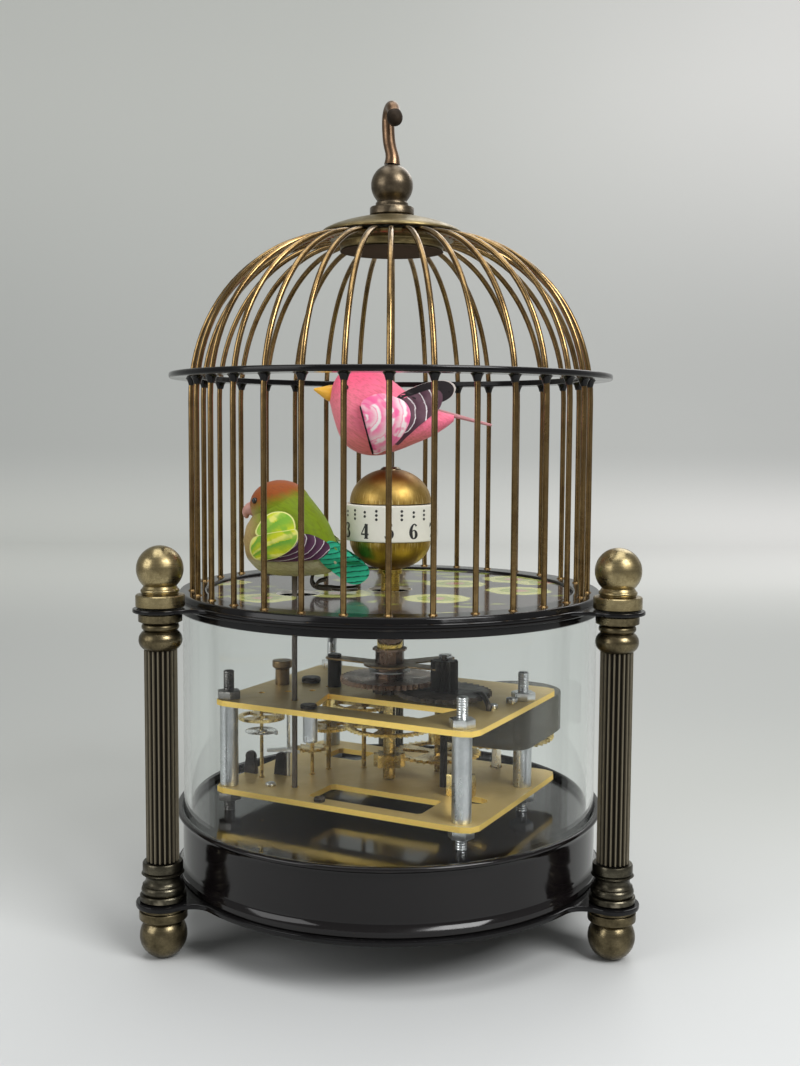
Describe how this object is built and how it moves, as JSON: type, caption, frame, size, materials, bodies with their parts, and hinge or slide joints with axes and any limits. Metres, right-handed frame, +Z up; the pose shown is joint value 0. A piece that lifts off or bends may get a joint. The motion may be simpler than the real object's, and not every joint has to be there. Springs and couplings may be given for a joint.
{
  "type": "birdcage clock",
  "caption": "Birdcage clock: a wire cage with a turning hour globe and moving birds over a glass drum that shows the geared movement.",
  "frame": {"origin": "under the middle of the whole clock's box, on the table plane", "axes": "+Z up, -Y towards the front, where the globe's hours are read, +X to the right; the back column stands on +Y"},
  "size_m": [0.1378, 0.1424, 0.2393],
  "materials": {
    "aged_brass": "aged, dark in the recesses",
    "gold_brass": "polished",
    "plate_brass": "bright lacquered",
    "copper": "coppered wire",
    "black_lacquer": "gloss black",
    "floral_print": "printed and varnished",
    "clear_glass": "clear",
    "bright_steel": "bright",
    "dark_steel": "burnished dark",
    "smoked_plastic": "smoked, see-through",
    "white_band": "printed with black numerals",
    "pink_bird": "painted, pink over salmon",
    "green_bird": "painted, green over cream",
    "feather": "painted feathers"
  },
  "bodies": {
    "frame": {"base_plate": "black_lacquer", "base_drum": "black_lacquer", "foot_1": "aged_brass", "column_base_1": "aged_brass", "column_shaft_1": "aged_brass", "column_capital_1": "aged_brass", "column_ball_1": "aged_brass", "foot_2": "aged_brass", "column_base_2": "aged_brass", "column_shaft_2": "aged_brass", "column_capital_2": "aged_brass", "column_ball_2": "aged_brass", "foot_3": "aged_brass", "column_base_3": "aged_brass", "column_shaft_3": "aged_brass", "column_capital_3": "aged_brass", "column_ball_3": "aged_brass", "glass_cylinder": "clear_glass", "glass_ring": "black_lacquer", "deck_plate": "black_lacquer", "deck_disc": "floral_print", "cage_wires": "aged_brass", "mid_ring": "black_lacquer", "crown_cap": "aged_brass", "finial": "aged_brass", "hook": "copper", "top_plate": "plate_brass", "bottom_plate": "plate_brass", "pillar_1": "bright_steel", "pillar_2": "bright_steel", "pillar_3": "bright_steel", "pillar_4": "bright_steel", "spring_housing": "smoked_plastic", "bridge": "dark_steel", "hairspring": "bright_steel"},
    "dial": {"globe_upper": "gold_brass", "hour_band": "white_band", "globe_lower": "gold_brass", "dial_tube": "gold_brass", "hour_wheel": "dark_steel"},
    "setting": {"motion_wheel": "dark_steel", "setting_knob": "gold_brass"},
    "cannon": {"cannon_pinion": "dark_steel"},
    "fourth": {"fourth_wheel": "plate_brass"},
    "third": {"third_wheel": "plate_brass"},
    "centre": {"centre_wheel": "plate_brass"},
    "second": {"second_wheel": "plate_brass"},
    "great": {"great_wheel": "plate_brass"},
    "escape": {"escape_wheel": "plate_brass"},
    "pallet": {"pallet_lever": "bright_steel"},
    "balance": {"balance_wheel": "plate_brass"},
    "winding": {"winding_key": "bright_steel"},
    "green_bird": {"green_body": "green_bird", "green_wing_near": "feather", "green_wing_far": "feather", "green_spindle": "dark_steel"},
    "pink_bird": {"pink_body": "pink_bird", "pink_wing_near": "feather", "pink_wing_far": "feather", "pink_spindle": "dark_steel"}
  },
  "joints": [
    {"name": "dial_spin", "type": "hinge", "parent": "frame", "child": "dial", "pos_m": [0, -0.00715, 0.118], "axis": [0, 0, 1], "continuous": true},
    {"name": "setting_spin", "type": "hinge", "parent": "frame", "child": "setting", "pos_m": [0.01601, -0.01495, 0.06], "axis": [0, 0, 1], "continuous": true},
    {"name": "cannon_spin", "type": "hinge", "parent": "frame", "child": "cannon", "pos_m": [0, -0.00715, 0.068], "axis": [0, 0, 1], "continuous": true},
    {"name": "fourth_spin", "type": "hinge", "parent": "frame", "child": "fourth", "pos_m": [-0.01885, 0.00321, 0.053], "axis": [0, 0, 1], "continuous": true},
    {"name": "third_spin", "type": "hinge", "parent": "frame", "child": "third", "pos_m": [-0.00799, 0.00519, 0.06], "axis": [0, 0, 1], "continuous": true},
    {"name": "centre_spin", "type": "hinge", "parent": "frame", "child": "centre", "pos_m": [0, -0.00715, 0.056], "axis": [0, 0, 1], "continuous": true},
    {"name": "second_spin", "type": "hinge", "parent": "frame", "child": "second", "pos_m": [0.01467, 0.00143, 0.046], "axis": [0, 0, 1], "continuous": true},
    {"name": "great_spin", "type": "hinge", "parent": "frame", "child": "great", "pos_m": [0.03336, 0.00701, 0.05], "axis": [0, 0, 1], "continuous": true},
    {"name": "escape_spin", "type": "hinge", "parent": "frame", "child": "escape", "pos_m": [-0.02345, -0.00279, 0.048], "axis": [0, 0, 1], "continuous": true},
    {"name": "balance_swing", "type": "hinge", "parent": "frame", "child": "balance", "pos_m": [-0.03845, -0.00623, 0.058], "axis": [0, 0, 1], "range_deg": [-120, 120], "stiffness_Nm_per_rad": 0.000004},
    {"name": "winding_turn", "type": "hinge", "parent": "frame", "child": "winding", "pos_m": [0.03336, 0.00701, 0.01], "axis": [0, 0, 1], "continuous": true},
    {"name": "green_bird_turn", "type": "hinge", "parent": "frame", "child": "green_bird", "pos_m": [-0.0276, -0.01635, 0.1], "axis": [0, 0, 1], "range_deg": [-12, 12]},
    {"name": "pink_bird_turn", "type": "hinge", "parent": "frame", "child": "pink_bird", "pos_m": [0, -0.00715, 0.14], "axis": [0, 0, 1], "range_deg": [-12, 12]},
    {"name": "pallet_rock", "type": "hinge", "parent": "frame", "child": "pallet", "pos_m": [-0.03054, -0.00438, 0.048], "axis": [0, 0, 1], "range_deg": [-4, 4]}
  ],
  "couplings": [
    {"joint": "setting_spin", "follows": "dial_spin", "ratio": -4},
    {"joint": "cannon_spin", "follows": "dial_spin", "ratio": 12},
    {"joint": "escape_spin", "follows": "fourth_spin", "ratio": -6},
    {"joint": "third_spin", "follows": "fourth_spin", "ratio": -0.16667},
    {"joint": "centre_spin", "follows": "fourth_spin", "ratio": 0.027778},
    {"joint": "second_spin", "follows": "fourth_spin", "ratio": -0.0092593},
    {"joint": "great_spin", "follows": "fourth_spin", "ratio": 0.0011574},
    {"joint": "pink_bird_turn", "follows": "green_bird_turn", "ratio": -1},
    {"joint": "pallet_rock", "follows": "green_bird_turn", "ratio": 0.33333}
  ]
}
